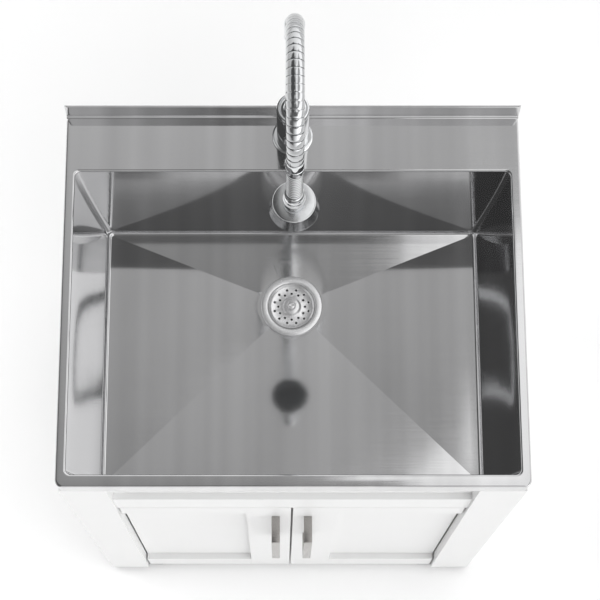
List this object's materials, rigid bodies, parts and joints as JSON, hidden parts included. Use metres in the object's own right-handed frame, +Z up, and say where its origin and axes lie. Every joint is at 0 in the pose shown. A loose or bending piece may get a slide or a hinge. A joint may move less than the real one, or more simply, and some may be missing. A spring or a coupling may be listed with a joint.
{
  "type": "utility laundry sink",
  "caption": "Free-standing utility sink: stainless steel top and deep bowl with creased floor, basket strainer, pull-down arc faucet, and white cabinet with framed doors.",
  "frame": {"origin": "on the floor, under the middle of the outline of the whole object", "axes": "+Z up, +X to the right of someone standing at the sink, +Y towards the wall"},
  "size_m": [0.615, 0.545, 1.2865],
  "materials": {
    "stainless_sheet": "satin",
    "polished_chrome": "polished",
    "brushed_nickel": "brushed",
    "white_paint": "satin white paint",
    "black_rubber": "matte",
    "brass": "machined",
    "grey_plastic": "matte",
    "zinc_steel": "zinc plated",
    "nylon_hose": "braided"
  },
  "bodies": {
    "cabinet": {"sink_top": "stainless_sheet", "bowl": "stainless_sheet", "sound_pads": "black_rubber", "deck_stiffener": "stainless_sheet", "strainer_body": "stainless_sheet", "drain_seals": "black_rubber", "drain_friction_ring": "grey_plastic", "drain_locknut": "brass", "tailpiece": "brass", "coupling_nut": "brass", "faucet_body": "polished_chrome", "faucet_base_ring": "polished_chrome", "faucet_base_seal": "black_rubber", "mixing_cartridge": "grey_plastic", "cartridge_bonnet": "polished_chrome", "faucet_shank": "brass", "faucet_washer": "grey_plastic", "faucet_nut": "brass", "supply_inlets": "brass", "left_side_panel": "white_paint", "right_side_panel": "white_paint", "left_post": "white_paint", "right_post": "white_paint", "false_panel": "white_paint", "cross_rail": "white_paint", "cabinet_floor": "white_paint", "floor_cleats": "white_paint", "hanging_rail": "white_paint", "back_panel": "white_paint", "glides": "grey_plastic", "door_catch": "grey_plastic", "hold_down_brackets": "zinc_steel", "pivot_plates": "zinc_steel", "cabinet_fasteners": "zinc_steel"},
    "left_door": {"left_door_frame": "white_paint", "left_door_panel": "white_paint", "left_door_hardware": "zinc_steel", "left_pull": "brushed_nickel"},
    "right_door": {"right_door_frame": "white_paint", "right_door_panel": "white_paint", "right_door_hardware": "zinc_steel", "right_pull": "brushed_nickel"},
    "spout": {"spout_riser": "polished_chrome", "swivel_seals": "black_rubber", "swivel_collar": "polished_chrome", "spout_arc": "polished_chrome", "spray_dock": "polished_chrome", "spout_hose": "nylon_hose"},
    "spray": {"spray_grip": "polished_chrome", "spray_collar": "polished_chrome", "spray_head": "polished_chrome", "spray_face": "grey_plastic", "spray_nozzles": "black_rubber", "pull_out_hose": "nylon_hose"},
    "lever_hub": {"lever_hub": "polished_chrome", "lever_pin": "polished_chrome"},
    "lever": {"lever_arm": "polished_chrome"},
    "strainer": {"basket_plate": "stainless_sheet", "basket_knob": "stainless_sheet", "basket_stopper": "black_rubber"}
  },
  "joints": [
    {"name": "left_door_hinge", "type": "hinge", "parent": "cabinet", "child": "left_door", "pos_m": [-0.2335, -0.228, 0.3], "axis": [0, 0, -1], "range_deg": [0, 105]},
    {"name": "right_door_hinge", "type": "hinge", "parent": "cabinet", "child": "right_door", "pos_m": [0.2335, -0.228, 0.3], "axis": [0, 0, 1], "range_deg": [0, 105]},
    {"name": "spout_swivel", "type": "hinge", "parent": "cabinet", "child": "spout", "pos_m": [0, 0.2405, 0.95], "axis": [0, 0, 1], "range_deg": [-90, 90]},
    {"name": "spray_pull", "type": "slide", "parent": "spout", "child": "spray", "axis": [0, 0, -1], "range_m": [0, 0.175], "deforming": ["pull_out_hose"]},
    {"name": "lever_turn", "type": "hinge", "parent": "cabinet", "child": "lever_hub", "pos_m": [0, 0.2057, 0.878], "axis": [0, -1, 0], "range_deg": [-45, 45]},
    {"name": "lever_lift", "type": "hinge", "parent": "lever_hub", "child": "lever", "pos_m": [0, 0.2057, 0.878], "axis": [-1, 0, 0], "range_deg": [0, 25]},
    {"name": "strainer_lift", "type": "slide", "parent": "cabinet", "child": "strainer", "axis": [0, 0, 1], "range_m": [0, 0.06]}
  ]
}
